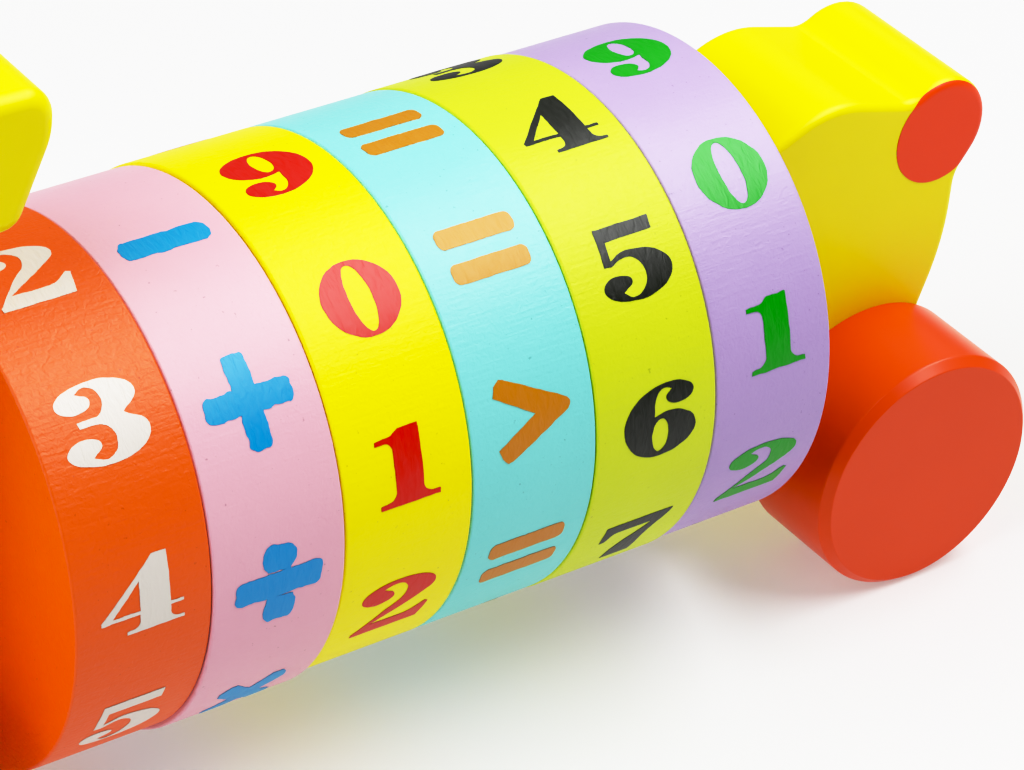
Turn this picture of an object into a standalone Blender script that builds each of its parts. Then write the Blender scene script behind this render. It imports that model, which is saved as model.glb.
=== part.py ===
"""Animal-shaped wooden arithmetic toy: six numbered rings that turn on a dowel between two end blocks.

Two boards cut to profile make the head end and the tail end. A round spindle joins them and carries
the rings. Thick round feet sit on both sides of each board, on a dowel that crosses it.
Lengths are metres, +Z is up, and the animal looks along -X. Every piece hangs on one empty at the
middle of the spindle, so local x is measured from the middle ring gap and local z from the spindle.
"""
import math

import bmesh
import bpy
from mathutils import Matrix, Vector

MM = 0.001

# Clearance that every pair of touching pieces keeps.
GAP = 0.3 * MM

# Mesh points closer than this are one point, and edges that turn more than this stay crisp.
SAME_POINT = 0.001 * MM
CRISP_ANGLE = math.radians(40)

# Rings, left to right: node name, outer radius, how far the ring sags on the spindle, colour.
RING_PITCH = 16.72 * MM
RINGS = (
    ("ring_first_number", 30.00 * MM, 0.0 * MM, (0.84, 0.107, 0.010)),
    ("ring_operation", 30.20 * MM, 0.5 * MM, (0.83, 0.56, 0.64)),
    ("ring_second_number", 30.00 * MM, 0.0 * MM, (0.90, 0.83, 0.020)),
    ("ring_relation", 30.00 * MM, 0.0 * MM, (0.36, 0.80, 0.82)),
    ("ring_tens", 30.10 * MM, 0.0 * MM, (0.76, 0.82, 0.040)),
    ("ring_units", 29.90 * MM, 0.0 * MM, (0.58, 0.46, 0.74)),
)
RING_WIDTH = RING_PITCH - GAP
RING_EDGE_RADIUS = 0.3 * MM
BORE_CHAMFER = 0.6 * MM
RING_STEPS = 64

# Spindle: a dowel glued into a blind hole of each block.
SPINDLE_RADIUS = 6.0 * MM
SPINDLE_GLUED_LENGTH = 18.0 * MM
RING_RUNNING_GAP = 0.4 * MM
DOWEL_CHAMFER = 0.8 * MM
DOWEL_STEPS = 32

# Feet: thick discs whose rims stand on the floor, glued on the ends of a dowel across the block.
FOOT_RADIUS = 16.0 * MM
FOOT_OUTER_FACE = 25.4 * MM
FOOT_OUTER_EDGE_RADIUS = 1.5 * MM
FOOT_INNER_EDGE_RADIUS = 0.7 * MM
FOOT_STATION = 72.7 * MM
FOOT_DROP = 22.8 * MM
FOOT_STEPS = 48
CROSS_DOWEL_RADIUS = 4.0 * MM
CROSS_DOWEL_GLUED_LENGTH = 8.0 * MM

# Blocks: one board thickness, edges rounded over with a router.
BOARD_THICKNESS = 22.2 * MM
BOARD_EDGE_RADIUS = 1.8 * MM
BOARD_EDGE_STEPS = 3
OUTLINE_STEP = math.radians(12)
EDGE_ANGLE_LIMIT = math.radians(50)
BLOCK_FACE = RING_PITCH * len(RINGS) / 2 + GAP
BLOCK_UNDERSIDE = -31.0 * MM

# Round painted ends of the profile: the tail and the snout.
KNOB_RADIUS = 7.0 * MM
TAIL_CENTRE = (80.1 * MM, 15.9 * MM)
SNOUT_CENTRE = (-95.5 * MM, 41.6 * MM)

# The toy's origin is on the floor, midway between the snout's tip and the rear feet.
AXIS_HEIGHT = FOOT_RADIUS + FOOT_DROP
NOSE_TIP = SNOUT_CENTRE[0] - KNOB_RADIUS
REAR_END = FOOT_STATION + FOOT_RADIUS
SPINDLE_MIDDLE = (-(NOSE_TIP + REAR_END) / 2, 0.0, AXIS_HEIGHT)

# Paints and bare wood, as linear colours, and how dull each finish is.
YELLOW = (0.86, 0.76, 0.012)
RED = (0.70, 0.055, 0.010)
BEECH = (0.63, 0.42, 0.22)
PAINTED_ROUGHNESS = 0.35
BARE_ROUGHNESS = 0.6


def arc(centre, radius, start, end):
    """Outline points on a circle from one angle to another, in degrees, each a plain corner."""
    sweep = math.radians(end - start)
    count = math.ceil(abs(sweep) / OUTLINE_STEP)
    angles = [math.radians(start) + sweep * step / count for step in range(count + 1)]
    return [(centre[0] + radius * math.cos(a), centre[1] + radius * math.sin(a), 0.0) for a in angles]


def rounded(corners):
    """Closed outline through (x, z, radius) corners, each one cut off by an arc tangent to its sides."""
    points = []
    for index, (x, z, radius) in enumerate(corners):
        corner = Vector((x, z))
        if radius == 0.0:
            points.append(corner)
            continue
        back = (Vector(corners[index - 1][:2]) - corner).normalized()
        ahead = (Vector(corners[(index + 1) % len(corners)][:2]) - corner).normalized()
        half_angle = back.angle(ahead) / 2
        centre = corner + (back + ahead).normalized() * radius / math.sin(half_angle)
        first = corner + back * radius / math.tan(half_angle) - centre
        sweep = first.angle_signed(corner + ahead * radius / math.tan(half_angle) - centre)
        count = max(1, math.ceil(abs(sweep) / OUTLINE_STEP))
        for step in range(count + 1):
            points.append(centre + Matrix.Rotation(-sweep * step / count, 2) @ first)
    return points


def paint(name, colour, roughness):
    """Principled material of one painted or bare wooden piece."""
    material = bpy.data.materials.new(name)
    material.use_nodes = True
    shader = material.node_tree.nodes["Principled BSDF"]
    shader.inputs["Base Color"].default_value = (*colour, 1.0)
    shader.inputs["Roughness"].default_value = roughness
    shader.inputs["Metallic"].default_value = 0.0
    return material


def add_piece(name, mesh, place, colour, roughness=PAINTED_ROUGHNESS):
    """Object for one piece, hung on the spindle's empty, with its own material."""
    piece = bpy.data.objects.new(name, mesh)
    bpy.context.scene.collection.objects.link(piece)
    piece.parent = spindle_empty
    piece.location = place
    mesh.materials.append(paint(name + "_paint", colour, roughness))
    return piece


def turned(name, profile, axis, steps, closed):
    """Mesh of a profile of (along, radius) points spun about the X or Y axis, starting at the bottom."""
    mesh = bpy.data.meshes.new(name)
    work = bmesh.new()
    points = [axis * along - Vector((0, 0, radius)) for along, radius in profile]
    corners = [work.verts.new(point) for point in points]
    ends = corners[1:] + corners[:1] if closed else corners[1:]
    edges = [work.edges.new(pair) for pair in zip(corners, ends)]
    bmesh.ops.spin(work, geom=corners + edges, axis=axis, cent=(0, 0, 0), angle=2 * math.pi,
                   steps=steps, use_merge=True)
    bmesh.ops.remove_doubles(work, verts=work.verts, dist=SAME_POINT)
    bmesh.ops.recalc_face_normals(work, faces=work.faces)
    work.to_mesh(mesh)
    work.free()
    mesh.shade_smooth()
    mesh.set_sharp_from_angle(angle=CRISP_ANGLE)
    return mesh


def quarter(centre_along, centre_radius, edge_radius, start):
    """Three profile points on the quarter round of a turned edge, from a start angle in degrees."""
    angles = [math.radians(start - turn) for turn in (0, 45, 90)]
    return [(centre_along + edge_radius * math.cos(a), centre_radius + edge_radius * math.sin(a))
            for a in angles]


def make_ring(index, name, radius, sag, colour):
    """One numbered ring: a turned band with eased edges and a chamfered bore wider than the spindle."""
    half = RING_WIDTH / 2
    ease = RING_EDGE_RADIUS
    bore = SPINDLE_RADIUS + RING_RUNNING_GAP + sag
    profile = [(half - BORE_CHAMFER, bore), (-half + BORE_CHAMFER, bore), (-half, bore + BORE_CHAMFER)]
    profile += quarter(-half + ease, radius - ease, ease, 180)
    profile += quarter(half - ease, radius - ease, ease, 90)
    profile += [(half, bore + BORE_CHAMFER)]
    mesh = turned(name, profile, Vector((1, 0, 0)), RING_STEPS, closed=True)
    station = (index - (len(RINGS) - 1) / 2) * RING_PITCH
    add_piece(name, mesh, (station, 0, -sag), colour)


def make_dowel(name, radius, half_length, axis, place):
    """Bare round dowel with chamfered ends."""
    tip = radius - DOWEL_CHAMFER
    shoulder = half_length - DOWEL_CHAMFER
    profile = [(-half_length, 0), (-half_length, tip), (-shoulder, radius),
               (shoulder, radius), (half_length, tip), (half_length, 0)]
    mesh = turned(name, profile, axis, DOWEL_STEPS, closed=False)
    add_piece(name, mesh, place, BEECH, roughness=BARE_ROUGHNESS)


def make_foot(name, station, side):
    """Round foot with a blind dowel hole in its inner face; side is -1 on the animal's left."""
    inner = BOARD_THICKNESS / 2 + GAP
    hole = CROSS_DOWEL_RADIUS + GAP
    hole_end = inner + CROSS_DOWEL_GLUED_LENGTH
    big = FOOT_OUTER_EDGE_RADIUS
    small = FOOT_INNER_EDGE_RADIUS
    profile = [(hole_end, 0), (hole_end, hole), (inner, hole)]
    profile += quarter(inner + small, FOOT_RADIUS - small, small, 180)
    profile += quarter(FOOT_OUTER_FACE - big, FOOT_RADIUS - big, big, 90)
    profile += [(FOOT_OUTER_FACE, 0)]
    profile = [(side * along, radius) for along, radius in profile]
    mesh = turned(name, profile, Vector((0, 1, 0)), FOOT_STEPS, closed=False)
    add_piece(name, mesh, (station, 0, -FOOT_DROP), RED)


def add_hole(block, name, radius, depth, axis, centre):
    """Round hole cut into a block by a hidden cylinder of the given length centred on a point."""
    mesh = bpy.data.meshes.new(name)
    work = bmesh.new()
    turn = Vector((0, 0, 1)).rotation_difference(axis).to_matrix().to_4x4()
    bmesh.ops.create_cone(work, cap_ends=True, segments=DOWEL_STEPS, radius1=radius, radius2=radius,
                          depth=depth, matrix=turn)
    work.to_mesh(mesh)
    work.free()
    cutter = bpy.data.objects.new(name, mesh)
    bpy.context.scene.collection.objects.link(cutter)
    cutter.parent = spindle_empty
    cutter.location = centre
    cutter.hide_render = True
    cutter.display_type = "WIRE"
    cut = block.modifiers.new(name, "BOOLEAN")
    cut.operation = "DIFFERENCE"
    cut.solver = "EXACT"
    cut.object = cutter


def make_block(name, corners, station, inward):
    """End block: the outline cut from a board, its rims rounded over, then drilled for both dowels."""
    mesh = bpy.data.meshes.new(name)
    work = bmesh.new()
    half = BOARD_THICKNESS / 2
    face = work.faces.new([work.verts.new((p.x, -half, p.y)) for p in rounded(corners)])
    extruded = bmesh.ops.extrude_face_region(work, geom=[face])["geom"]
    moved = [item for item in extruded if isinstance(item, bmesh.types.BMVert)]
    bmesh.ops.translate(work, verts=moved, vec=(0, BOARD_THICKNESS, 0))
    bmesh.ops.recalc_face_normals(work, faces=work.faces)
    work.to_mesh(mesh)
    work.free()
    mesh.shade_smooth()
    mesh.set_sharp_from_angle(angle=CRISP_ANGLE)
    block = add_piece(name, mesh, (0, 0, 0), YELLOW)

    rim = block.modifiers.new("rounded_rims", "BEVEL")
    rim.width = BOARD_EDGE_RADIUS
    rim.segments = BOARD_EDGE_STEPS
    rim.limit_method = "ANGLE"
    rim.angle_limit = EDGE_ANGLE_LIMIT

    depth = SPINDLE_GLUED_LENGTH + 2 * GAP
    spindle_hole = (-inward * (BLOCK_FACE + depth / 2 - GAP), 0, 0)
    add_hole(block, name + "_spindle_hole", SPINDLE_RADIUS + GAP, depth, Vector((1, 0, 0)), spindle_hole)
    add_hole(block, name + "_cross_hole", CROSS_DOWEL_RADIUS + GAP, 2 * BOARD_THICKNESS,
             Vector((0, 1, 0)), (station, 0, -FOOT_DROP))


def mirrored(corners):
    """The same outline corners reflected to the head end."""
    return [(-x, z, radius) for x, z, radius in corners]


for old in list(bpy.data.objects):
    bpy.data.objects.remove(old, do_unlink=True)

spindle_empty = bpy.data.objects.new("spindle_middle", None)
bpy.context.scene.collection.objects.link(spindle_empty)
spindle_empty.location = SPINDLE_MIDDLE

for ring_index, ring in enumerate(RINGS):
    make_ring(ring_index, *ring)

make_dowel("spindle", SPINDLE_RADIUS, BLOCK_FACE + SPINDLE_GLUED_LENGTH, Vector((1, 0, 0)), (0, 0, 0))

# Leg, shared by both blocks: flat underside and an outer edge that the foot hides.
LEG = [
    (BLOCK_FACE, BLOCK_UNDERSIDE, 4.0 * MM),
    (80.4 * MM, BLOCK_UNDERSIDE, 6.0 * MM),
    (80.6 * MM, -10.5 * MM, 16.0 * MM),
]

# Tail block: a bulging haunch runs up to a short neck, round the tail, over a crease and the rump.
TAIL = LEG + [(83.9 * MM, -0.5 * MM, 34.0 * MM), (83.9 * MM, 9.02 * MM, 5.0 * MM)]
TAIL += arc(TAIL_CENTRE, KNOB_RADIUS, -34, 120)
TAIL += [
    (75.2 * MM, 21.15 * MM, 1.5 * MM),
    (63.1 * MM, 24.2 * MM, 12.0 * MM),
    (BLOCK_FACE, 17.5 * MM, 4.0 * MM),
]

# Head block: chest, throat, jaw, round snout, brow, crown, ear that overhangs the first ring, nape.
HEAD = mirrored(LEG) + [
    (-84.2 * MM, 2.0 * MM, 24.0 * MM),
    (-78.5 * MM, 27.5 * MM, 9.0 * MM),
    (-88.5 * MM, 29.5 * MM, 12.0 * MM),
]
HEAD += arc(SNOUT_CENTRE, KNOB_RADIUS, 240, 60)
HEAD += [
    (-91.2 * MM, 47.2 * MM, 2.0 * MM),
    (-82.6 * MM, 48.4 * MM, 7.0 * MM),
    (-76.5 * MM, 57.6 * MM, 11.0 * MM),
    (-42.1 * MM, 56.5 * MM, 3.6 * MM),
    (-42.1 * MM, 50.6 * MM, 9.0 * MM),
    (-46.2 * MM, 40.4 * MM, 3.0 * MM),
    (-54.5 * MM, 40.4 * MM, 5.0 * MM),
    (-54.5 * MM, 22.5 * MM, 7.0 * MM),
    (-BLOCK_FACE, 18.0 * MM, 3.0 * MM),
]

make_block("tail_block", TAIL, FOOT_STATION, inward=-1)
make_block("head_block", HEAD, -FOOT_STATION, inward=1)

for end, end_station in (("front", -FOOT_STATION), ("rear", FOOT_STATION)):
    half_dowel = BOARD_THICKNESS / 2 + CROSS_DOWEL_GLUED_LENGTH
    make_dowel(end + "_cross_dowel", CROSS_DOWEL_RADIUS, half_dowel, Vector((0, 1, 0)),
               (end_station, 0, -FOOT_DROP))
    make_foot("foot_" + end + "_left", end_station, -1)
    make_foot("foot_" + end + "_right", end_station, 1)
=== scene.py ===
import bpy
import numpy as np
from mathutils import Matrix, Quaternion, Vector, geometry


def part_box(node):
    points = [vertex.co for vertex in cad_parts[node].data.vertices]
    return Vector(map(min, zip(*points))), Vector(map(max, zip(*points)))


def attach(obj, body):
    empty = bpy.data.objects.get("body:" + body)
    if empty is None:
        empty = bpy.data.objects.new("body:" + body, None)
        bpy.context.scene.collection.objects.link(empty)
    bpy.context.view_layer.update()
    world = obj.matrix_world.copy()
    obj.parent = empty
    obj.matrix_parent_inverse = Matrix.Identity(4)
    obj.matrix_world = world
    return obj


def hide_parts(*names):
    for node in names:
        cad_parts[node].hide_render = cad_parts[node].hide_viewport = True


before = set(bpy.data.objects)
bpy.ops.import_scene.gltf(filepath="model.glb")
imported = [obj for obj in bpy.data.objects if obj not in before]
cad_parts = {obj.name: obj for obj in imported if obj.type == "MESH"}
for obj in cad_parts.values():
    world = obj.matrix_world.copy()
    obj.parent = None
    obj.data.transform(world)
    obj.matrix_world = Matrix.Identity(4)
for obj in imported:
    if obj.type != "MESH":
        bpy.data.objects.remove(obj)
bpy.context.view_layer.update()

# Looks of an animal-shaped wooden arithmetic toy: six printed rings on a dowel between two end boards on
# round feet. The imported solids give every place. Lengths are metres, +Z is up, the animal looks along -X.

# Spindle: a round dowel of bare beech, chamfered at both ends. It is glued into a blind hole of the
# head board first, takes the six rings, and is closed off by the tail board.
MM = 0.001
BEECH_PALE = "DCBF98"
BEECH_STREAK = "B48A5E"
BEECH_STREAK_WIDTH = 0.6 * MM
BEECH_STREAK_LENGTH = 14.0 * MM
BEECH_RELIEF = 0.03 * MM
BEECH_ROUGHNESS = 0.6
# A Mix node has sockets of the same name for each kind of data, so its colour sockets go by number.
MIX_FACTOR, MIX_FIRST, MIX_SECOND, MIX_RESULT = 0, 6, 7, 2


def linear(hex_colour):
    """sRGB hex as linear RGBA: c / 12.92 up to 0.04045, and ((c + 0.055) / 1.055) ** 2.4 above it."""
    c = np.array([int(hex_colour[at:at + 2], 16) for at in (0, 2, 4)]) / 255
    light = np.where(c <= 0.04045, c / 12.92, ((c + 0.055) / 1.055) ** 2.4)
    return (*light.tolist(), 1.0)


def add_node(tree, kind, sockets, **settings):
    """One shader node with its own settings; each socket gets a value, or a link from another node."""
    added = tree.nodes.new(kind)
    for setting, value in settings.items():
        setattr(added, setting, value)
    for socket, value in sockets.items():
        if isinstance(value, bpy.types.NodeSocket):
            tree.links.new(value, added.inputs[socket])
        else:
            added.inputs[socket].default_value = value
    return added


def new_material(name):
    """New material with its node tree and its Principled shader."""
    material = bpy.data.materials.new(name)
    material.use_nodes = True
    tree = material.node_tree
    return material, tree, tree.nodes["Principled BSDF"]


def bare_beech(name, grain):
    """Sanded bare beech: pale pinkish tan, with fine darker streaks along the dowel and a dull surface."""
    material, tree, shader = new_material(name)
    place = add_node(tree, "ShaderNodeTexCoord", {}).outputs["Object"]
    scale = [1 / (BEECH_STREAK_LENGTH if axis == grain else BEECH_STREAK_WIDTH) for axis in "XYZ"]
    stretched = add_node(tree, "ShaderNodeMapping", {"Vector": place, "Scale": scale})
    streaks = add_node(tree, "ShaderNodeTexNoise", {
        "Vector": stretched.outputs[0], "Scale": 1.0, "Detail": 3.0})
    colour = add_node(tree, "ShaderNodeMix", {
        MIX_FACTOR: streaks.outputs[0], MIX_FIRST: linear(BEECH_PALE), MIX_SECOND: linear(BEECH_STREAK),
    }, data_type="RGBA")
    bump = add_node(tree, "ShaderNodeBump", {"Height": streaks.outputs[0], "Distance": BEECH_RELIEF})
    tree.links.new(colour.outputs[MIX_RESULT], shader.inputs["Base Color"])
    tree.links.new(bump.outputs[0], shader.inputs["Normal"])
    shader.inputs["Roughness"].default_value = BEECH_ROUGHNESS
    return material


def dress(node, material):
    """A solid whose shape is right keeps its mesh and takes the finished material."""
    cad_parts[node].data.materials.clear()
    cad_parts[node].data.materials.append(material)


dress("spindle", bare_beech("bare_beech_spindle", "X"))
spindle_low, spindle_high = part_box("spindle")
spindle_middle = (spindle_low + spindle_high) / 2
spindle_radius = (spindle_high.y - spindle_low.y) / 2

# Rings: six bands turned from beech, drilled to run loosely on the spindle, with eased edges. Each is
# sprayed in one satin colour and threaded on from the head end; the fibres show faintly in the paint.
# They stand close together: each is a hair wider than its solid, so that only a dark line is left between.
RING_EDGE = 0.35 * MM
SNUG = 0.12 * MM
BORE_EDGE = 0.6 * MM
RUNNING_GAP = 0.4 * MM
INK_FILM = 0.05 * MM
RING_STEPS = 240
EDGE_POINTS = 7
SAME_POINT = 0.001 * MM
# Slot, colour, colour of its clouds, strength of its reflection, and height of the fibres in the paint.
RING_PAINTS = {
    "first_number": ("orange_paint", "F07029", "E66A23", 0.40, 0.07 * MM),
    "operation": ("pink_paint", "EAB6C3", "E2AEBB", 0.34, 0.03 * MM),
    "second_number": ("yellow_paint", "F8EB06", "F2E503", 0.28, 0.045 * MM),
    "relation": ("light_blue_paint", "95DFDD", "8BD7D5", 0.33, 0.045 * MM),
    "tens": ("lime_paint", "D2E034", "CAD82E", 0.34, 0.045 * MM),
    "units": ("lilac_paint", "B9A5D0", "B19DC8", 0.44, 0.045 * MM),
}
SATIN_ROUGHNESS = 0.42
SATIN_SPREAD = 0.08
# Real fibres and dust are finer: these are as coarse as they need to be to show in the render.
FIBRE = 0.7 * MM
GRAIN_WIDTH = 0.45 * MM
GRAIN_LENGTH = 6.0 * MM
GRAIN_SHARE = 0.7
SPECK = 0.5 * MM
SPECK_START, SPECK_FULL = 0.74, 0.82
SPECK_STRENGTH = 0.45
SPECK_SHADE = 0.35
CLOUD = 11.0 * MM


def rounded(corners, arc_points, closed=True):
    """Outline whose corners are cut off by arcs, with the outward normal at every point.

    A corner p has unit directions a and b to its neighbours and half the angle between them, h. Its
    arc of radius r is centred r / sin h along the bisector and touches the sides r / tan h from p.
    Corners run anticlockwise. An open outline keeps its two end points as they are.
    """
    path = np.array(corners, float)
    if closed:
        path = np.vstack([path[-1:], path, path[:1]])
    corner, radius = path[1:-1, :2], path[1:-1, 2:]
    back, ahead = path[:-2, :2] - corner, path[2:, :2] - corner
    back = back / np.linalg.norm(back, axis=1, keepdims=True)
    ahead = ahead / np.linalg.norm(ahead, axis=1, keepdims=True)
    half = np.arccos((back * ahead).sum(1, keepdims=True)) / 2
    bisector = (back + ahead) / np.linalg.norm(back + ahead, axis=1, keepdims=True)
    centre = corner + bisector * radius / np.sin(half)
    start = corner + back * radius / np.tan(half) - centre
    bend = np.sign(ahead[:, :1] * back[:, 1:] - ahead[:, 1:] * back[:, :1])
    sweep = bend * (np.pi - 2 * half)
    angles = np.arctan2(start[:, 1:], start[:, :1]) + sweep * np.linspace(0, 1, arc_points)
    spoke = np.stack([np.cos(angles), np.sin(angles)], -1)
    points = (centre[:, None] + radius[:, None] * spoke).reshape(-1, 2)
    normals = (bend[:, None] * spoke).reshape(-1, 2)
    if not closed:
        points = np.vstack([path[:1, :2], points, path[-1:, :2]])
        normals = np.vstack([normals[:1], normals, normals[-1:]])
    apart = np.linalg.norm(points - np.roll(points, 1, 0), axis=1) > SAME_POINT
    return points[apart], normals[apart]


def turned(profile, normals, centre, axis, side, steps):
    """Surface of revolution: profile (along, radius) carried round the axis through a full turn.

    At the angle a a point is centre + along * axis + radius * (cos a * side + sin a * up).
    """
    angle = np.linspace(0, 2 * np.pi, steps, endpoint=False)
    spoke = np.outer(np.cos(angle), side) + np.outer(np.sin(angle), (0, 0, 1))
    points = np.array(centre) + profile[:, :1, None] * np.array(axis) + profile[:, 1:, None] * spoke
    facing = normals[:, :1, None] * np.array(axis) + normals[:, 1:, None] * spoke
    return points, facing


def add_surface(name, points, facing, material, closed):
    """Object from a grid of rows and columns of points whose columns close on themselves.

    A closed grid also joins its last row to its first. An open one gets a flat face on both end rows.
    """
    rows, columns = points.shape[:2]
    row, column = np.meshgrid(np.arange(rows if closed else rows - 1), np.arange(columns), indexing="ij")
    after, beside = (row + 1) % rows, (column + 1) % columns
    quads = np.stack([row * columns + column, row * columns + beside,
                      after * columns + beside, after * columns + column], -1)
    faces = quads.reshape(-1, 4).tolist()
    if not closed:
        last = (rows - 1) * columns
        faces += [list(range(columns))[::-1], list(range(last, last + columns))]
    mesh = bpy.data.meshes.new(name)
    mesh.from_pydata(points.reshape(-1, 3).tolist(), [], faces)
    mesh.shade_smooth()
    mesh.normals_split_custom_set_from_vertices(facing.reshape(-1, 3).tolist())
    mesh.materials.append(material)
    piece = bpy.data.objects.new(name, mesh)
    bpy.context.scene.collection.objects.link(piece)
    return piece


def satin_paint(name, colour, shade, mirror, relief):
    """Satin paint sprayed on turned beech: an even coat that pales where light strikes across it.

    Raised fibres and the grain along the ring give faint ridges, and dust leaves a few dark specks.
    """
    material, tree, shader = new_material(name)
    place = add_node(tree, "ShaderNodeTexCoord", {}).outputs["Object"]
    cloud = add_node(tree, "ShaderNodeTexNoise", {
        "Vector": place, "Scale": 1 / CLOUD, "Detail": 5.0, "Roughness": 0.65})
    coat = add_node(tree, "ShaderNodeMix", {
        MIX_FACTOR: cloud.outputs[0], MIX_FIRST: linear(colour), MIX_SECOND: linear(shade),
    }, data_type="RGBA")
    dust = add_node(tree, "ShaderNodeTexNoise", {"Vector": place, "Scale": 1 / SPECK, "Detail": 1.0})
    speck = add_node(tree, "ShaderNodeMapRange", {
        "Value": dust.outputs[0], "From Min": SPECK_START, "From Max": SPECK_FULL,
        "To Min": 0.0, "To Max": SPECK_STRENGTH})
    dark = tuple(SPECK_SHADE * c for c in linear(shade)[:3]) + (1.0,)
    specked = add_node(tree, "ShaderNodeMix", {
        MIX_FACTOR: speck.outputs[0], MIX_FIRST: coat.outputs[MIX_RESULT], MIX_SECOND: dark,
    }, data_type="RGBA")
    fibre = add_node(tree, "ShaderNodeTexNoise", {
        "Vector": place, "Scale": 1 / FIBRE, "Detail": 3.0, "Distortion": 0.9})
    along = add_node(tree, "ShaderNodeMapping", {
        "Vector": place, "Scale": (1 / GRAIN_LENGTH, 1 / GRAIN_WIDTH, 1 / GRAIN_WIDTH)})
    grain = add_node(tree, "ShaderNodeTexNoise", {"Vector": along.outputs[0], "Scale": 1.0, "Detail": 2.0})
    height = add_node(tree, "ShaderNodeMath", {
        0: grain.outputs[0], 1: GRAIN_SHARE, 2: fibre.outputs[0]}, operation="MULTIPLY_ADD")
    bump = add_node(tree, "ShaderNodeBump", {"Height": height.outputs[0], "Distance": relief})
    gloss = add_node(tree, "ShaderNodeMapRange", {
        "Value": fibre.outputs[0], "To Min": SATIN_ROUGHNESS - SATIN_SPREAD,
        "To Max": SATIN_ROUGHNESS + SATIN_SPREAD})
    tree.links.new(specked.outputs[MIX_RESULT], shader.inputs["Base Color"])
    tree.links.new(gloss.outputs[0], shader.inputs["Roughness"])
    tree.links.new(bump.outputs[0], shader.inputs["Normal"])
    shader.inputs["Specular IOR Level"].default_value = mirror
    return material


ring_shapes = {}
for body, (slot, colour, shade, mirror, relief) in RING_PAINTS.items():
    node = "ring_" + body
    low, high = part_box(node)
    centre = (low + high) / 2
    half_width = (high.x - low.x) / 2 + SNUG
    radius = (high.z - low.z) / 2 - INK_FILM
    bore = spindle_radius + RUNNING_GAP + spindle_middle.z - centre.z
    profile, facing = rounded([
        (-half_width, bore, BORE_EDGE), (half_width, bore, BORE_EDGE),
        (half_width, radius, RING_EDGE), (-half_width, radius, RING_EDGE)], EDGE_POINTS)
    points, normals = turned(profile, facing, centre, (1, 0, 0), (0, -1, 0), RING_STEPS)
    paint = satin_paint("satin_" + slot, colour, shade, mirror, relief)
    ring = add_surface("painted_ring_" + body, points, normals, paint, closed=True)
    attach(ring, body)
    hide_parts(node)
    ring_shapes[body] = (centre, radius)

# Printed symbols: digits and signs of thick ink, stamped on the bands one after the other before the
# rings are threaded. The film stands a little proud, with slightly ragged edges.
INK_DEPTH = 0.15 * MM
INK_ROUGHNESS = 0.4
INK_MIRROR = 0.53
DRAG_RELIEF = 0.06 * MM
# The flat print is in millimetres: the drag of the stamp, the ragged edges and the triangles of the film.
DRAG_WIDTH = 2 / 3
DRAG_LENGTH = 2.0
RAGGED_LENGTHS = (0.7, 5.0)
RAGGED_WAVES = 16
RAGGED_SEED = 7
SPAN_POINTS = 12
INK_CELL = 0.9
INK_SAME_POINT = 1e-4
# Blender's number for a triangulation that keeps what lies inside the outlines.
INSIDE_OUTLINES = 1
# The drag's slant is in radians. Where its noise passes from start to full, the ink gets thinner and paler.
DRAG_SLANT = 0.3
THIN_START, THIN_FULL = 0.35, 0.75
THIN_MOST = 0.08
THIN_PALER = 0.2

# Outlines drawn in millimetres about the middle of the symbol. A node is level (h), upright (v) or a
# corner (c), which sets how far the curve reaches along and up towards the next node.
ARC_REACH = 0.5523
REACH = {"h": (ARC_REACH, 0.0), "v": (0.0, ARC_REACH), "c": (1 / 3, 1 / 3)}
ZERO = [
    [(0.0, 4.5, "h"), (4.8, 0.0, "v"), (0.0, -4.5, "h"), (-4.8, 0.0, "v")],
    [(0.0, 3.95, "h"), (1.45, 0.0, "v"), (0.0, -3.95, "h"), (-1.45, 0.0, "v")],
]
ONE = [[
    (-0.7, 4.35, "c"), (1.85, 4.4, "c"), (1.8, -2.7, "v"), (3.2, -3.8, "h"), (3.85, -3.85, "c"),
    (3.85, -4.4, "c"), (-3.85, -4.4, "c"), (-3.85, -3.85, "c"), (-3.1, -3.8, "h"), (-1.75, -2.7, "v"),
    (-1.75, 2.1, "v"), (-2.7, 3.1, "h"), (-3.85, 3.1, "c"), (-3.85, 3.6, "c"), (-2.4, 3.68, "h"),
]]
TWO = [[
    (-0.2, 4.55, "h"), (4.9, 2.4, "v"), (2.4, 0.05, "c"), (-2.6, -2.65, "c"), (1.6, -2.75, "h"),
    (4.55, -1.45, "c"), (5.0, -1.7, "c"), (4.25, -4.55, "c"), (-4.5, -4.55, "c"), (-4.5, -4.0, "c"),
    (-1.6, -1.0, "c"), (1.2, 2.4, "v"), (-0.6, 3.95, "h"), (-2.1, 3.5, "c"), (-0.6, 2.2, "v"),
    (-2.6, 1.2, "h"), (-4.85, 2.6, "v"),
]]
THREE = [[
    (0.2, 4.6, "h"), (4.7, 2.4, "v"), (2.6, 0.42, "c"), (4.95, -1.7, "v"), (-0.2, -4.4, "h"),
    (-5.2, -2.5, "v"), (-3.0, -1.2, "h"), (-1.0, -2.1, "v"), (-2.4, -3.3, "c"), (-0.9, -3.75, "h"),
    (0.9, -1.8, "v"), (-0.9, -0.05, "h"), (-2.8, -0.05, "c"), (-2.9, 0.65, "c"), (-0.9, 0.72, "h"),
    (0.72, 2.4, "v"), (-0.8, 4.05, "h"), (-2.0, 3.6, "c"), (-0.6, 2.6, "v"), (-2.4, 1.5, "h"),
    (-4.75, 2.8, "v"),
]]
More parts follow.
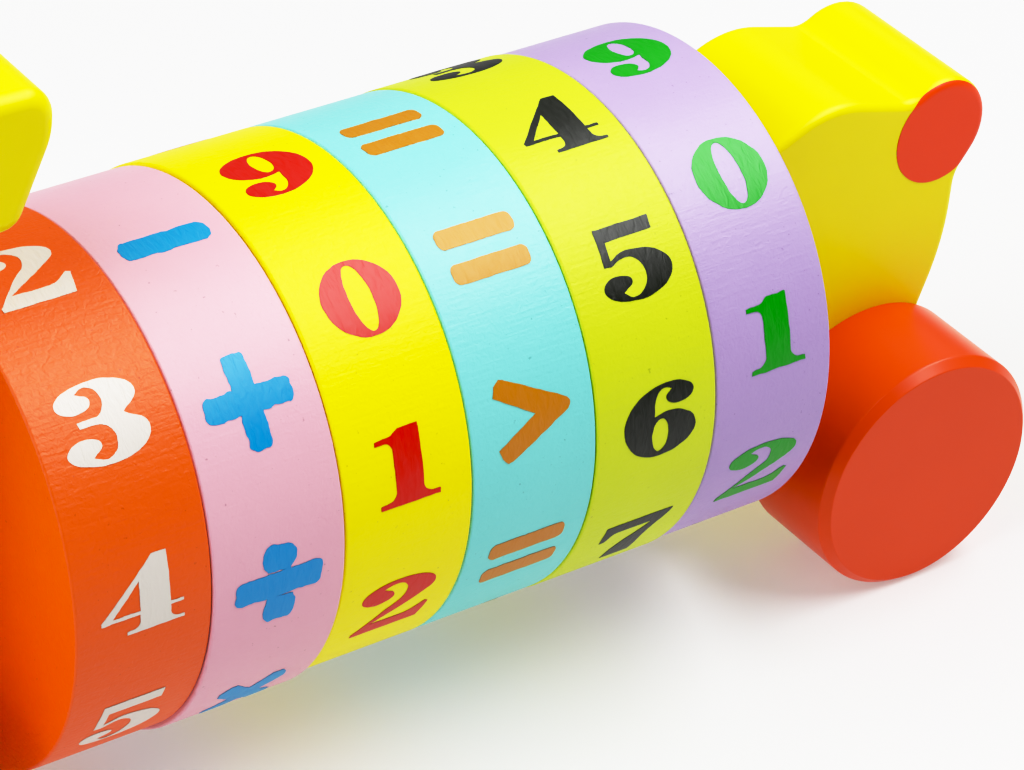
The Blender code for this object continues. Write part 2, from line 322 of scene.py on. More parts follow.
FOUR = [
    [(1.3, 4.45, "c"), (3.1, 4.45, "c"), (3.2, -1.7, "c"), (4.8, -1.75, "c"), (4.8, -2.1, "c"),
     (3.2, -2.1, "c"), (3.25, -2.9, "v"), (4.3, -3.75, "h"), (4.85, -3.8, "c"), (4.85, -4.15, "c"),
     (-2.1, -4.2, "c"), (-2.1, -3.8, "c"), (-1.5, -3.72, "h"), (-0.5, -2.9, "v"), (-0.5, -2.1, "c"),
     (-5.2, -2.1, "c"), (-5.25, -1.7, "c")],
    [(-0.5, 1.85, "c"), (-3.9, -1.65, "c"), (-0.5, -1.65, "c")],
]
FIVE = [[
    (-3.5, 4.4, "c"), (4.0, 4.4, "c"), (3.85, 2.8, "c"), (-2.6, 2.75, "c"), (-2.8, 0.55, "c"),
    (-0.4, 1.25, "h"), (4.8, -1.5, "v"), (-0.2, -4.45, "h"), (-4.8, -2.5, "v"), (-2.9, -1.25, "h"),
    (-0.9, -2.1, "v"), (-2.4, -3.25, "c"), (-1.1, -4.0, "h"), (1.2, -1.5, "v"), (-0.8, 0.5, "h"),
    (-2.9, -0.05, "c"), (-3.85, 0.0, "c"),
]]
SIX = [
    [(1.1, 4.5, "h"), (-5.0, 0.2, "v"), (0.1, -4.5, "h"), (5.0, -1.7, "v"), (1.1, 1.0, "h"),
     (-0.85, 0.7, "c"), (-0.75, 2.0, "v"), (0.7, 3.95, "h"), (1.7, 3.6, "c"), (0.9, 2.7, "v"),
     (2.9, 1.65, "h"), (4.65, 2.9, "v")],
    [(-1.1, -1.6, "v"), (0.1, 0.35, "h"), (1.2, -1.7, "v"), (0.0, -3.9, "h")],
]
SEVEN = [[
    (-4.3, 4.4, "c"), (5.0, 4.4, "c"), (4.9, 4.0, "c"), (2.4, -1.8, "v"), (2.3, -4.5, "c"),
    (-1.6, -4.5, "c"), (-1.6, -3.2, "v"), (2.5, 2.75, "c"), (-2.4, 2.75, "h"), (-3.75, 1.3, "c"),
    (-4.4, 1.3, "c"),
]]
EIGHT = [
    [(0.0, 4.5, "h"), (4.3, 2.4, "v"), (3.0, 0.35, "c"), (4.9, -1.9, "v"), (0.0, -4.5, "h"),
     (-4.9, -1.9, "v"), (-3.0, 0.35, "c"), (-4.3, 2.4, "v")],
    [(0.1, 4.0, "h"), (1.25, 2.4, "v"), (0.1, 0.8, "h"), (-1.05, 2.4, "v")],
    [(0.0, -0.25, "h"), (1.4, -2.1, "v"), (0.0, -4.0, "h"), (-1.4, -2.1, "v")],
]
NINE = [[(-x, -z, kind) for x, z, kind in contour] for contour in SIX]


def bar(x, z, half_length, half_height, corner):
    """Straight stroke with rounded corners, centred on (x, z)."""
    flat, wall = half_length - corner, half_height - corner
    return [(x - half_length, z + wall, "v"), (x - flat, z + half_height, "h"),
            (x + flat, z + half_height, "h"), (x + half_length, z + wall, "v"),
            (x + half_length, z - wall, "v"), (x + flat, z - half_height, "h"),
            (x - flat, z - half_height, "h"), (x - half_length, z - wall, "v")]


MINUS = [bar(0.0, 0.0, 5.5, 1.42, 1.15)]
PLUS = [[
    (-5.4, 0.6, "v"), (-4.6, 1.4, "h"), (-1.45, 1.4, "c"), (-1.5, 4.6, "v"), (-0.9, 5.2, "h"),
    (0.8, 5.2, "h"), (1.35, 4.6, "v"), (1.3, 1.4, "c"), (4.6, 1.4, "h"), (5.4, 0.6, "v"),
    (5.4, -0.6, "v"), (4.6, -1.4, "h"), (1.35, -1.4, "c"), (1.4, -4.6, "v"), (0.6, -5.4, "h"),
    (-0.7, -5.4, "h"), (-1.4, -4.6, "v"), (-1.4, -1.4, "c"), (-4.6, -1.45, "h"), (-5.4, -0.6, "v"),
]]
# The dots of the divide sign run into its bar, apart from a thin slit on one side of each.
DIVIDE = [[
    (-5.5, 0.6, "v"), (-4.6, 1.45, "h"), (-1.3, 1.46, "c"), (0.9, 1.5, "c"), (-1.4, 1.75, "c"),
    (-2.15, 3.2, "v"), (-1.0, 4.75, "h"), (1.0, 4.75, "h"), (2.1, 3.2, "v"), (1.5, 1.5, "c"),
    (4.6, 1.45, "h"), (5.5, 0.5, "v"), (5.4, -0.7, "v"), (4.6, -1.6, "h"), (1.9, -1.6, "c"),
    (-0.3, -1.66, "c"), (1.8, -1.92, "c"), (2.2, -3.0, "v"), (1.1, -4.95, "h"), (-0.9, -4.9, "h"),
    (-1.9, -3.3, "v"), (-1.35, -1.6, "c"), (-4.6, -1.5, "h"), (-5.5, -0.7, "v"),
]]
# Cosine and sine of an eighth of a turn.
EIGHTH_TURN = 0.7071
TIMES = [[((x - z) * EIGHTH_TURN, (x + z) * EIGHTH_TURN, "c") for x, z, kind in PLUS[0]]]
EQUALS = [bar(0.0, 2.15, 5.1, 1.22, 0.85), bar(0.0, -2.15, 5.1, 1.22, 0.85)]
GREATER = [[
    (-4.65, 3.1, "c"), (-4.3, 4.3, "c"), (-3.5, 4.9, "c"), (-2.9, 4.75, "c"), (4.9, 0.65, "c"),
    (5.2, 0.0, "v"), (4.9, -0.65, "c"), (-2.9, -4.75, "c"), (-3.5, -4.85, "c"), (-4.2, -4.1, "c"),
    (-4.65, -3.0, "c"), (0.5, -0.05, "c"),
]]
LESS = [[(-x, z, kind) for x, z, kind in contour] for contour in GREATER]
SYMBOLS = {
    "0": ZERO, "1": ONE, "2": TWO, "3": THREE, "4": FOUR, "5": FIVE, "6": SIX, "7": SEVEN, "8": EIGHT,
    "9": NINE, "-": MINUS, "+": PLUS, "/": DIVIDE, "x": TIMES, "=": EQUALS, ">": GREATER, "<": LESS,
}

# Each ring's ink, how ragged its print is, the symbols on the near side with their angles in degrees above
# the spindle's level and their shifts towards the tail, and the symbols that follow on the far side. Those
# are evenly spread between two clear stretches, in degrees, and a space leaves a place blank.
CLEAR_BELOW = 40.0
CLEAR_ABOVE = 44.0
PRINTS = {
    "first_number": ("DDD6CE", 0.02, "2345", (83.2, 46.0, 9.3, -27.0), (0.0, -0.1, 0.0, -0.1), "678901"),
    "operation": ("1497CE", 0.055, "-+/x", (81.1, 41.8, 2.2, -36.6), (0.2, -0.1, -0.1, 0.1), "-+/x "),
    "second_number": ("CC1F06", 0.02, "9012", (92.1, 54.1, 17.7, -19.1), (0.4, 0.3, 0.2, -0.1), "345678"),
    "relation": ("C1871E", 0.025, "==>=", (93.0, 56.3, 19.4, -17.2), (0.2, 0.2, -0.1, 0.2), "<=>=<="),
    "tens": ("24271F", 0.02, "34567", (117.0, 80.0, 43.9, 7.7, -28.5), (0.9, 0.8, 0.6, 0.4, 0.1), "89012"),
    "units": ("149E14", 0.03, "9012", (95.7, 55.6, 18.9, -18.0), (0.8, 0.8, 0.7, 0.3), "345678"),
}


def curve_through(nodes, ragged, chance):
    """Closed outline of cubic spans: handles reach along the node's own direction towards the next node.

    A sum of short random waves along its length then moves every point in or out a little.
    """
    place = np.array([node[:2] for node in nodes])
    reach = np.array([REACH[node[2]] for node in nodes])
    step = np.roll(place, -1, 0) - place
    leave = place + reach * step
    arrive = np.roll(place, -1, 0) - np.roll(reach, -1, 0) * step
    t = np.linspace(0, 1, SPAN_POINTS, endpoint=False)[:, None]
    spans = ((1 - t) ** 3 * place[:, None] + 3 * t * (1 - t) ** 2 * leave[:, None]
             + 3 * t ** 2 * (1 - t) * arrive[:, None] + t ** 3 * np.roll(place, -1, 0)[:, None])
    points = spans.reshape(-1, 2)
    tangent = np.roll(points, -1, 0) - np.roll(points, 1, 0)
    length = np.linalg.norm(tangent, axis=1, keepdims=True) / 2
    way = np.cumsum(length) / length.sum()
    cycles = np.round(length.sum() / chance.uniform(*RAGGED_LENGTHS, RAGGED_WAVES))
    phase = chance.uniform(0, 2 * np.pi, RAGGED_WAVES)
    wave = np.sin(2 * np.pi * np.outer(way, cycles) + phase).sum(1, keepdims=True)
    normal = np.stack([tangent[:, 1], -tangent[:, 0]], -1) / (2 * length)
    return points + normal * wave * ragged / np.sqrt(RAGGED_WAVES / 2)


def ink_patch(contours):
    """Flat triangles inside closed outlines, with a grid of free points so that they can bend.

    A triangle stays if a level ray from its middle crosses the outlines an odd number of times.
    """
    start = np.vstack(contours)
    end = np.vstack([np.roll(contour, -1, 0) for contour in contours])
    offsets = np.cumsum([0] + [len(contour) for contour in contours])
    sides = [np.stack([at + np.arange(len(c)), at + np.roll(np.arange(len(c)), -1)], -1)
             for at, c in zip(offsets, contours)]
    across, up = (np.arange(start[:, axis].min(), start[:, axis].max(), INK_CELL) for axis in (0, 1))
    free = np.stack(np.meshgrid(across, up), -1).reshape(-1, 2)
    made = geometry.delaunay_2d_cdt(np.vstack([start, free]).tolist(), np.vstack(sides).tolist(), [],
                                    INSIDE_OUTLINES, INK_SAME_POINT)
    points, triangles = np.array(made[0]), np.array(made[2])
    middle = points[triangles].mean(1)[:, None]
    crosses = (start[:, 1] > middle[..., 1]) != (end[:, 1] > middle[..., 1])
    rise = np.where(end[:, 1] == start[:, 1], 1.0, end[:, 1] - start[:, 1])
    met = start[:, 0] + (middle[..., 1] - start[:, 1]) * (end[:, 0] - start[:, 0]) / rise
    kept = triangles[(crosses & (met > middle[..., 0])).sum(1) % 2 == 1]
    used, order = np.unique(kept, return_inverse=True)
    return points[used], order.reshape(-1, 3)


def wrapped(flat, triangles, centre, radius, angle):
    """Closed film: a flat patch laid round the ring at its angle, with a sunk copy and a wall between.

    A flat point (x, s) goes to the angle plus s / radius on the ring, x along the spindle.
    """
    turn = np.radians(angle) + flat[:, 1] * MM / radius
    spoke = np.stack([np.zeros(len(turn)), -np.cos(turn), np.sin(turn)], -1)
    base = np.array(centre) + np.outer(flat[:, 0] * MM, (1, 0, 0))
    points = np.vstack([base + (radius + INK_FILM) * spoke, base + (radius - INK_DEPTH) * spoke])
    count = len(flat)
    edges = triangles[:, [0, 1, 1, 2, 2, 0]].reshape(-1, 2)
    rim = edges[~np.isin(edges @ (1, count), edges @ (count, 1))]
    walls = np.stack([rim[:, 1], rim[:, 0], rim[:, 0] + count, rim[:, 1] + count], -1)
    skins = np.vstack([triangles, triangles[:, ::-1] + count])
    return points, np.vstack([spoke, spoke]), np.vstack([flat, flat]), skins, walls


def stamped_ink(name, colour):
    """Thick stamping ink: an opaque satin film with drag ridges and thin places that look paler."""
    material, tree, shader = new_material(name)
    flat = add_node(tree, "ShaderNodeUVMap", {}, uv_map="flat")
    slant = add_node(tree, "ShaderNodeMapping", {
        "Vector": flat.outputs[0], "Rotation": (0, 0, DRAG_SLANT),
        "Scale": (1 / DRAG_WIDTH, 1 / DRAG_LENGTH, 1.0)})
    drag = add_node(tree, "ShaderNodeTexNoise", {
        "Vector": slant.outputs[0], "Scale": 1.0, "Detail": 3.0, "Distortion": 0.8})
    thin = add_node(tree, "ShaderNodeMapRange", {
        "Value": drag.outputs[0], "From Min": THIN_START, "From Max": THIN_FULL,
        "To Min": 0.0, "To Max": THIN_MOST})
    pale = tuple((1 - THIN_PALER) * c + THIN_PALER for c in linear(colour)[:3]) + (1.0,)
    body_colour = add_node(tree, "ShaderNodeMix", {
        MIX_FACTOR: thin.outputs[0], MIX_FIRST: linear(colour), MIX_SECOND: pale}, data_type="RGBA")
    bump = add_node(tree, "ShaderNodeBump", {"Height": drag.outputs[0], "Distance": DRAG_RELIEF})
    tree.links.new(body_colour.outputs[MIX_RESULT], shader.inputs["Base Color"])
    tree.links.new(bump.outputs[0], shader.inputs["Normal"])
    shader.inputs["Roughness"].default_value = INK_ROUGHNESS
    shader.inputs["Specular IOR Level"].default_value = INK_MIRROR
    return material


chance = np.random.default_rng(RAGGED_SEED)
for body, (colour, ragged, seen, angles, shifts, hidden) in PRINTS.items():
    centre, radius = ring_shapes[body]
    hidden_angles = np.linspace(angles[-1] - CLEAR_BELOW, angles[0] + CLEAR_ABOVE - 360, len(hidden))
    hidden_shifts = np.linspace(shifts[-1], shifts[0], len(hidden))
    points, normals, flats, faces = [], [], [], []
    at = 0
    for symbol, angle, shift in zip(seen + hidden, [*angles, *hidden_angles], [*shifts, *hidden_shifts]):
        if symbol == " ":
            continue
        contours = [curve_through(contour, ragged, chance) for contour in SYMBOLS[symbol]]
        middle = centre + Vector((shift * MM, 0, 0))
        film, facing, flat, skins, walls = wrapped(*ink_patch(contours), middle, radius, angle)
        points.append(film)
        normals.append(facing)
        flats.append(flat)
        faces += (skins + at).tolist() + (walls + at).tolist()
        at += len(film)
    name = "print_" + body
    mesh = bpy.data.meshes.new(name)
    mesh.from_pydata(np.vstack(points).tolist(), [], faces)
    mesh.shade_smooth()
    mesh.normals_split_custom_set_from_vertices(np.vstack(normals).tolist())
    corners = np.zeros(len(mesh.loops), int)
    mesh.loops.foreach_get("vertex_index", corners)
    mesh.uv_layers.new(name="flat").uv.foreach_set("vector", np.vstack(flats)[corners].ravel())
    mesh.materials.append(stamped_ink("stamped_ink_" + body, colour))
    symbols = bpy.data.objects.new(name, mesh)
    bpy.context.scene.collection.objects.link(symbols)
    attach(symbols, body)

# Head and tail boards: one thickness of beech, sawn to profile, their rims rounded over with a router,
# drilled for the spindle and the cross dowels, and sprayed in yellow gloss. The saw leaned a little on the
# tail's top, which is higher on the left face than on the right one.
HEAD_RIM = 1.8 * MM
TAIL_RIM = 1.1 * MM
RIM_POINTS = 9
OUTLINE_POINTS = 11
GLOSS_YELLOW = ("F7E810", "F2E30F")
BOARD_ROUGHNESS = 0.36
GLOSS_SPREAD = 0.01
GLOSS_MIRROR = 0.28
PEEL = 3.2 * MM
PEEL_RELIEF = 0.003 * MM
KNOB_RADIUS = 7.0
TAIL_CENTRE = (80.1, 15.9)
SNOUT_CENTRE = (-95.5, 41.6)
FACE_X = 50.46
UNDERSIDE = -31.0


def round_end(centre, start, end):
    """Two corners, seen from the centre at a quarter and three quarters of the arc, that leave that arc."""
    sweep = np.radians(end - start) / 2
    middle = np.radians(start) + sweep * np.array([0.5, 1.5])
    reach = KNOB_RADIUS / np.cos(sweep / 2)
    return [(centre[0] + reach * np.cos(a), centre[1] + reach * np.sin(a), KNOB_RADIUS) for a in middle]


# Corners in millimetres: along the spindle, above it, and the radius of the corner's arc.
LEG = [(FACE_X, UNDERSIDE, 4.0), (80.4, UNDERSIDE, 6.0), (80.6, -10.5, 16.0)]
RUMP = LEG + [(83.9, -0.5, 34.0), (83.9, 9.02, 5.0)] + round_end(TAIL_CENTRE, -34, 120)
TAIL_LEFT = RUMP + [(75.2, 21.15, 3.9), (62.4, 24.7, 13.0), (FACE_X, 19.3, 4.0)]
TAIL_RIGHT = RUMP + [(75.2, 20.8, 3.9), (63.1, 24.0, 12.0), (FACE_X, 17.3, 4.0)]
HEAD = [(-x, z, radius) for x, z, radius in LEG]
HEAD += [(-84.2, 2.0, 24.0), (-78.5, 27.5, 9.0), (-88.5, 29.5, 12.0)] + round_end(SNOUT_CENTRE, 240, 60)
HEAD += [
    (-91.2, 47.2, 2.0), (-82.6, 48.4, 7.0), (-76.5, 57.6, 11.0), (-42.1, 56.5, 3.6), (-42.1, 50.6, 9.0),
    (-46.2, 40.4, 3.0), (-54.5, 40.4, 5.0), (-54.5, 22.5, 7.0), (-FACE_X, 18.0, 3.0)]


def gloss_paint(name, colour, shade, roughness):
    """Gloss enamel sprayed on a smooth board: wet-looking, with a slight orange-peel swell."""
    material, tree, shader = new_material(name)
    place = add_node(tree, "ShaderNodeTexCoord", {}).outputs["Object"]
    cloud = add_node(tree, "ShaderNodeTexNoise", {"Vector": place, "Scale": 1 / CLOUD, "Detail": 2.0})
    coat = add_node(tree, "ShaderNodeMix", {
        MIX_FACTOR: cloud.outputs[0], MIX_FIRST: linear(colour), MIX_SECOND: linear(shade),
    }, data_type="RGBA")
    peel = add_node(tree, "ShaderNodeTexNoise", {"Vector": place, "Scale": 1 / PEEL, "Detail": 2.0})
    bump = add_node(tree, "ShaderNodeBump", {"Height": peel.outputs[0], "Distance": PEEL_RELIEF})
    gloss = add_node(tree, "ShaderNodeMapRange", {
        "Value": peel.outputs[0], "To Min": roughness - GLOSS_SPREAD, "To Max": roughness + GLOSS_SPREAD})
    tree.links.new(coat.outputs[MIX_RESULT], shader.inputs["Base Color"])
    tree.links.new(gloss.outputs[0], shader.inputs["Roughness"])
    tree.links.new(bump.outputs[0], shader.inputs["Normal"])
    shader.inputs["Specular IOR Level"].default_value = GLOSS_MIRROR
    return material


def routed_board(left, right, normals, half_thickness, rim):
    """Board whose outline changes evenly from its left face to its right one, with quarter-round rims.

    At the rim angle b the outline is inset by rim * (1 - cos b), and lies rim * sin b past the wall.
    """
    quarter = np.linspace(0, np.pi / 2, RIM_POINTS)
    bend = np.concatenate([-quarter[::-1], quarter])
    wall = np.repeat([rim - half_thickness, half_thickness - rim], RIM_POINTS)
    across = wall + rim * np.sin(bend)
    inset = rim * (1 - np.cos(bend))[:, None, None]
    share = (across / half_thickness + 1)[:, None, None] / 2
    flat = left * (1 - share) + right * share - normals * inset
    level = np.broadcast_to(across[:, None], flat.shape[:2])
    points = np.stack([flat[..., 0], level, flat[..., 1]], -1)
    lean = np.cos(bend)[:, None, None] * normals
    tilt = np.broadcast_to(np.sin(bend)[:, None], lean.shape[:2])
    return points, np.stack([lean[..., 0], tilt, lean[..., 1]], -1)


board_paint = gloss_paint("gloss_paint_yellow", *GLOSS_YELLOW, BOARD_ROUGHNESS)
board_shapes = {}
for node, left, right, rim in (("head_block", HEAD[::-1], HEAD[::-1], HEAD_RIM),
                               ("tail_block", TAIL_LEFT, TAIL_RIGHT, TAIL_RIM)):
    low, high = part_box(node)
    half_board = (high.y - low.y) / 2
    left_outline, normals = rounded(np.array(left) * MM, OUTLINE_POINTS)
    right_outline = rounded(np.array(right) * MM, OUTLINE_POINTS)[0]
    left_outline = left_outline + (spindle_middle.x, spindle_middle.z)
    right_outline = right_outline + (spindle_middle.x, spindle_middle.z)
    points, facing = routed_board(left_outline, right_outline, normals, half_board, rim)
    board = add_surface("painted_" + node, points[::-1], facing[::-1], board_paint, closed=False)
    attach(board, "toy_body")
    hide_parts(node)
    board_shapes[node] = (left_outline, rim, half_board)

# Painted spots: red paint dabbed with a round pad on both sides of the tail and the nose, and a dark dot
# for each eye. The film follows the board over its rounded rim. The pad left less on the tail's right side.
SPOT_RED = ("F65A2B", "F0562A")
EYE_DARK = ("2A2420", "241E1B")
GLOSS_ROUGHNESS = 0.3
SPOT_RADIUS = 6.75
RIGHT_TAIL_RADIUS = 5.8
EYE_RADIUS = 2.3
EYE_CENTRE = (-71.5, 46.0)
SPOT_FILM = 0.05 * MM
SPOT_ROWS = 24
SPOT_STEPS = 96
SPOT_POLE = 0.02


def spot_film(outline, rim, half_board, centre, radius, side):
    """Round film on one side of a board: rings of points out to the radius, then back on top of the film.

    At a distance d from the outline, less than the rim, the rim's angle b has sin b = (rim - d) / rim. The
    board falls away there by rim * (1 - cos b), and the film is lifted along that slope's own normal.
    """
    rows = np.sin(np.linspace(SPOT_POLE, 1, SPOT_ROWS) * np.pi / 2) * radius
    angle = np.linspace(0, 2 * np.pi, SPOT_STEPS, endpoint=False) * -side
    flat = np.array(centre) + rows[:, None, None] * np.stack([np.cos(angle), np.sin(angle)], -1)
    step = np.roll(outline, -1, 0) - outline
    from_start = flat[:, :, None] - outline
    share = np.clip((from_start * step).sum(-1) / (step ** 2).sum(-1), 0, 1)
    apart = np.linalg.norm(from_start - share[..., None] * step, axis=-1)
    beside = step[apart.argmin(-1)]
    lean = np.clip(1 - apart.min(-1) / rim, 0, 1)
    upright = np.sqrt(1 - lean ** 2)
    outward = np.stack([beside[..., 1], -beside[..., 0]], -1)
    outward = outward / np.linalg.norm(outward, axis=-1, keepdims=True)
    facing = np.stack([outward[..., 0] * lean, side * upright, outward[..., 1] * lean], -1)
    board = np.stack([flat[..., 0], side * (half_board - rim * (1 - upright)), flat[..., 1]], -1)
    return (np.concatenate([board - 2 * SPOT_FILM * facing, (board + SPOT_FILM * facing)[::-1]]),
            np.concatenate([-facing, facing[::-1]]))


spot_paint = gloss_paint("gloss_paint_red", *SPOT_RED, GLOSS_ROUGHNESS)
eye_paint = gloss_paint("gloss_paint_dark", *EYE_DARK, GLOSS_ROUGHNESS)
for name, node, centre, left_radius, right_radius, paint in (
        ("tail_spot", "tail_block", TAIL_CENTRE, SPOT_RADIUS, RIGHT_TAIL_RADIUS, spot_paint),
        ("nose_spot", "head_block", SNOUT_CENTRE, SPOT_RADIUS, SPOT_RADIUS, spot_paint),
        ("eye", "head_block", EYE_CENTRE, EYE_RADIUS, EYE_RADIUS, eye_paint)):
    place = np.array(centre) * MM + (spindle_middle.x, spindle_middle.z)
    for hand, side, radius in (("left", -1, left_radius), ("right", 1, right_radius)):
        points, facing = spot_film(*board_shapes[node], place, radius * MM, side)
        spot = add_surface(name + "_" + hand, points, facing, paint, closed=False)
        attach(spot, "toy_body")

# Cross dowels: short dowels of bare beech, pushed through a drilled hole in each board and glued. Their
# ends stand out on both sides, ready for the feet.
for node in ("front_cross_dowel", "rear_cross_dowel"):
    dress(node, bare_beech("bare_beech_" + node, "Y"))

# Feet: thick discs turned from beech, bevelled at the outer edge, bored from the inner face, sprayed in red
# gloss and glued on the ends of the cross dowels, tight against the boards.
FOOT_RED = ("E35C2C", "DD582A")
FOOT_BEVEL_INSET = 1.0 * MM
FOOT_BEVEL_DEPTH = 1.15 * MM
FOOT_FACE_EDGE = 0.25 * MM
FOOT_SIDE_EDGE = 0.5 * MM
FOOT_INNER_EDGE = 0.12 * MM
FOOT_HOLE_EDGE = 0.3 * MM
FOOT_HOLE_GAP = 0.05 * MM
FOOT_POLE = 1.0 * MM
FOOT_STEPS = 160
GLUE_LINE = 0.27 * MM

foot_paint = gloss_paint("gloss_paint_red_feet", *FOOT_RED, GLOSS_ROUGHNESS)
for end in ("front", "rear"):
    dowel_low, dowel_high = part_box(end + "_cross_dowel")
    hole = (dowel_high.z - dowel_low.z) / 2 + FOOT_HOLE_GAP
    for hand, side in (("left", -1), ("right", 1)):
        node = "foot_" + end + "_" + hand
        low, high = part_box(node)
        centre = (low + high) / 2
        radius = (high.z - low.z) / 2
        outer = (high.y - low.y) / 2
        inner = -outer - GLUE_LINE
        hole_end = side * ((dowel_high.y if side > 0 else dowel_low.y) - centre.y) + FOOT_HOLE_GAP
        corners = [
            (outer, FOOT_POLE, 0), (outer, radius - FOOT_BEVEL_INSET, FOOT_FACE_EDGE),
            (outer - FOOT_BEVEL_DEPTH, radius, FOOT_SIDE_EDGE), (inner, radius, FOOT_INNER_EDGE),
            (inner, hole, FOOT_HOLE_EDGE), (hole_end, hole, FOOT_HOLE_EDGE), (hole_end, FOOT_POLE, 0)]
        if side < 0:
            corners = [(-along, across, edge) for along, across, edge in corners[::-1]]
        profile, facing = rounded(corners, EDGE_POINTS, closed=False)
        points, normals = turned(profile, facing, centre, (0, 1, 0), (1, 0, 0), FOOT_STEPS)
        foot = add_surface("painted_" + node, points, normals, foot_paint, closed=False)
        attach(foot, "toy_body")
        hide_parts(node)

# Floor: a sheet of matt white paper with a painted pool of light where the toy stands: there it is lighter
# and glows, which washes out the toy's shadows. It gives way to a duller zone and then to a far part that
# glows pale and meets the backdrop.
FLOOR_SIZE = 6.0
PAINTED_POOL_CENTRE = (0.09, 0.10, 0.0)
PAINTED_POOL_RADIUS = 0.165
PAINTED_POOL_EDGE = 0.42
FLOOR_FAR = 1.2
PAPER_PAINTED_POOL = "C9C9C9"
PAPER_BEYOND_POOL = "A2A2A2"
PAPER_ROUGHNESS = 0.9
POOL_GLOW = 0.35
DULL_GLOW = 0.02
BACKDROP = 0.8
WHITE = "FFFFFF"
floor_mesh = bpy.data.meshes.new("floor")
half = FLOOR_SIZE / 2
floor_mesh.from_pydata([(-half, -half, 0), (half, -half, 0), (half, half, 0), (-half, half, 0)],
                       [], [(0, 1, 2, 3)])
floor = bpy.data.objects.new("floor", floor_mesh)
bpy.context.scene.collection.objects.link(floor)
paper, paper_tree, paper_shader = new_material("white_sheet_painted_pool")
paper_place = add_node(paper_tree, "ShaderNodeTexCoord", {}).outputs["Object"]
spread = add_node(paper_tree, "ShaderNodeVectorMath", {0: paper_place, 1: PAINTED_POOL_CENTRE}, operation="DISTANCE")
fade = add_node(paper_tree, "ShaderNodeMapRange", {
    "Value": spread.outputs["Value"], "From Min": PAINTED_POOL_RADIUS, "From Max": PAINTED_POOL_EDGE,
}, interpolation_type="SMOOTHSTEP")
# Painted light: the paper is lighter near the toy, and it glows there and far off.
painted_pool_tint = add_node(paper_tree, "ShaderNodeMix", {
    MIX_FACTOR: fade.outputs[0], MIX_FIRST: linear(PAPER_PAINTED_POOL), MIX_SECOND: linear(PAPER_BEYOND_POOL),
}, data_type="RGBA")
pool = add_node(paper_tree, "ShaderNodeMapRange", {
    "Value": fade.outputs[0], "To Min": POOL_GLOW, "To Max": DULL_GLOW})
far = add_node(paper_tree, "ShaderNodeMapRange", {
    "Value": spread.outputs["Value"], "From Min": PAINTED_POOL_EDGE, "From Max": FLOOR_FAR, "To Max": BACKDROP,
}, interpolation_type="SMOOTHSTEP")
glow = add_node(paper_tree, "ShaderNodeMath", {0: pool.outputs[0], 1: far.outputs[0]}, operation="ADD")
paper_tree.links.new(painted_pool_tint.outputs[MIX_RESULT], paper_shader.inputs["Base Color"])
paper_tree.links.new(glow.outputs[0], paper_shader.inputs["Emission Strength"])
paper_shader.inputs["Roughness"].default_value = PAPER_ROUGHNESS
paper_shader.inputs["Emission Color"].default_value = linear(WHITE)
floor_mesh.materials.append(paper)

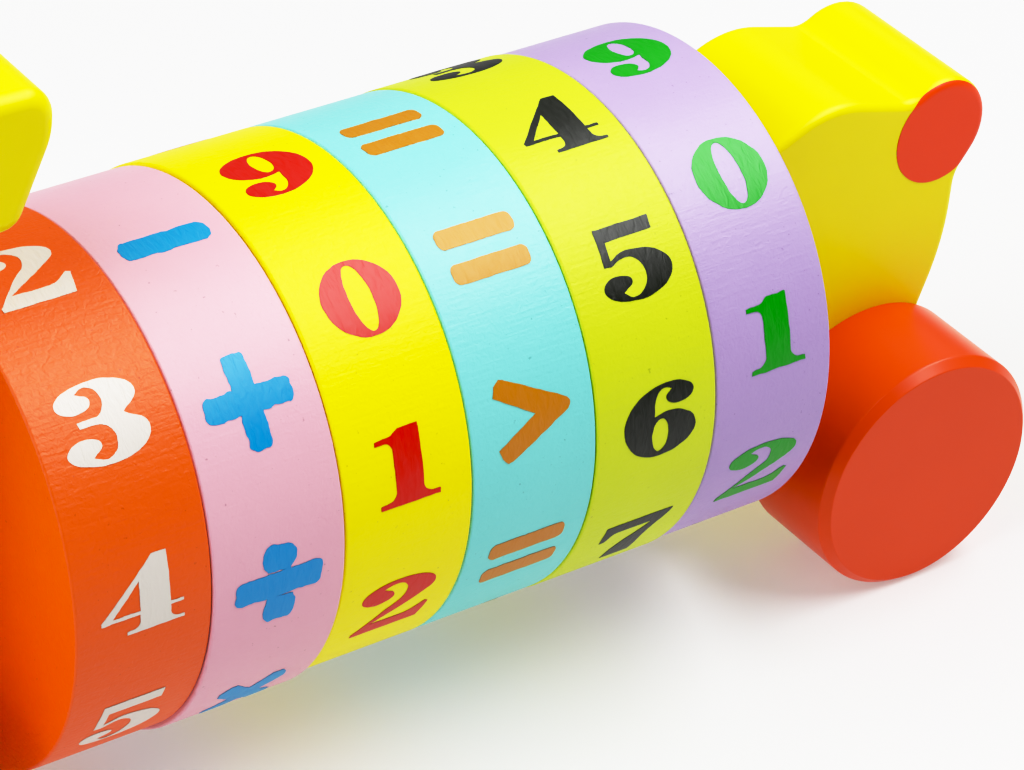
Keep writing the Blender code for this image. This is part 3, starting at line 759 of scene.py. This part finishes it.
# Light: four softboxes, above the tail, at the head end, low at the head end and behind the tail, and a
# backdrop that is pale to the camera and adds almost no light of its own.
# Direction from the toy, then distance, width and height in metres, and watts.
SOFTBOXES = {
    "softbox_top": ((0.50, -0.22, 0.838), 1.05, 1.0, 0.45, 14.4),
    "softbox_left": ((-0.72, 0.10, 0.68), 1.0, 1.0, 1.0, 10.8),
    "softbox_low": ((-0.98, 0.04, 0.18), 1.0, 0.6, 0.6, 2.7),
    "softbox_back": ((0.51, 0.62, 0.58), 1.1, 0.9, 0.9, 1.2),
}
AMBIENT = 0.02
for name, (direction, distance, width, height, watts) in SOFTBOXES.items():
    light = bpy.data.lights.new(name, "AREA")
    light.shape = "RECTANGLE"
    light.size = width
    light.size_y = height
    light.energy = watts
    lamp = bpy.data.objects.new(name, light)
    bpy.context.scene.collection.objects.link(lamp)
    towards = Vector(direction).normalized()
    lamp.location = spindle_middle + towards * distance
    lamp.rotation_mode = "QUATERNION"
    lamp.rotation_quaternion = towards.to_track_quat("Z", "Y")
world = bpy.data.worlds.new("studio")
bpy.context.scene.world = world
world.use_nodes = True
sky = world.node_tree.nodes["Background"]
ray = add_node(world.node_tree, "ShaderNodeLightPath", {})
pale = add_node(world.node_tree, "ShaderNodeMapRange", {
    "Value": ray.outputs["Is Camera Ray"], "To Min": AMBIENT, "To Max": BACKDROP})
world.node_tree.links.new(pale.outputs[0], sky.inputs["Strength"])
sky.inputs["Color"].default_value = linear(WHITE)

# Tone: the contrast curve of the photograph, with a deep black and a soft shoulder below white. A pair
# gives the light that comes in and the light that is shown.
BLACK_LEVEL = 0.032
TONE = ((0.25, 0.175), (0.5, 0.487), (0.75, 0.73), (1.0, 0.875), (1.2, 0.94), (1.45, 0.983))
WHITE_END = (1.8, 1.0)
ALL_COLOURS = 3
view = bpy.context.scene.view_settings
view.view_transform = "Standard"
view.use_curve_mapping = True
tone = view.curve_mapping
tone.clip_max_x = WHITE_END[0]
tone.black_level = (BLACK_LEVEL, BLACK_LEVEL, BLACK_LEVEL)
tone.curves[ALL_COLOURS].points[1].location = WHITE_END
for point in TONE:
    tone.curves[ALL_COLOURS].points.new(*point)
tone.update()

# Camera: a long lens above the animal's left shoulder, slightly rolled, as in the photograph. The place is
# in metres, the sensor and the lens in millimetres, the roll in degrees.
CAMERA_PLACE = (-0.23326, -0.3384, 0.3239)
CAMERA_LOOK = (0.51222, 0.64752, -0.56422)
CAMERA_ROLL = 5.28
SENSOR_WIDTH = 36.0
LENS = 155.71
camera_data = bpy.data.cameras.new("camera")
camera_data.sensor_width = SENSOR_WIDTH
camera_data.lens = LENS
camera = bpy.data.objects.new("camera", camera_data)
bpy.context.scene.collection.objects.link(camera)
camera.location = CAMERA_PLACE
camera.rotation_mode = "QUATERNION"
roll = Quaternion((0, 0, 1), np.radians(CAMERA_ROLL))
camera.rotation_quaternion = Vector(CAMERA_LOOK).to_track_quat("-Z", "Y") @ roll
bpy.context.scene.camera = camera
